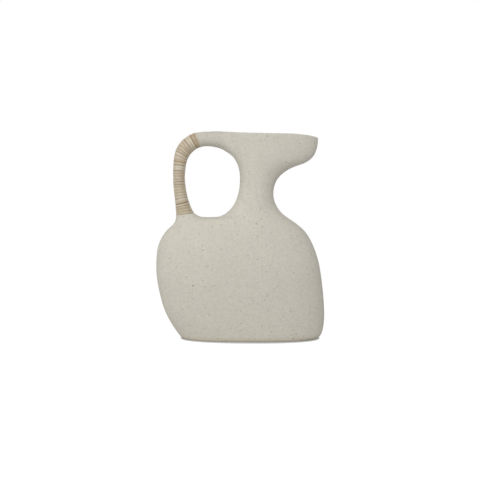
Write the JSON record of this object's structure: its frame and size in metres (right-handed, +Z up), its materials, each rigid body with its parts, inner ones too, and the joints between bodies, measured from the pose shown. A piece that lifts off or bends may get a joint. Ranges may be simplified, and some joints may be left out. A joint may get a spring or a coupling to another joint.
{
  "type": "pouring jug",
  "caption": "Flattened stoneware jug with an off-centre neck, a long open pouring beak and a bar handle wound with split cane.",
  "frame": {"origin": "on the table, under the middle of the jug's width and depth", "axes": "+Z up, +X towards the pouring beak, -Y towards the viewer of the picture"},
  "size_m": [0.244, 0.088, 0.3],
  "materials": {
    "stoneware": "matte unglazed off-white stoneware with fine brown specks",
    "cane": "split cane, satin, with darker strips"
  },
  "bodies": {
    "root": {"foot_slab": "stoneware", "belly_wall": "stoneware", "shoulder_wall": "stoneware", "neck_collar": "stoneware", "pouring_beak": "stoneware", "handle": "stoneware", "cane_winding_upper": "cane", "cane_winding_lower": "cane"}
  },
  "joints": []
}
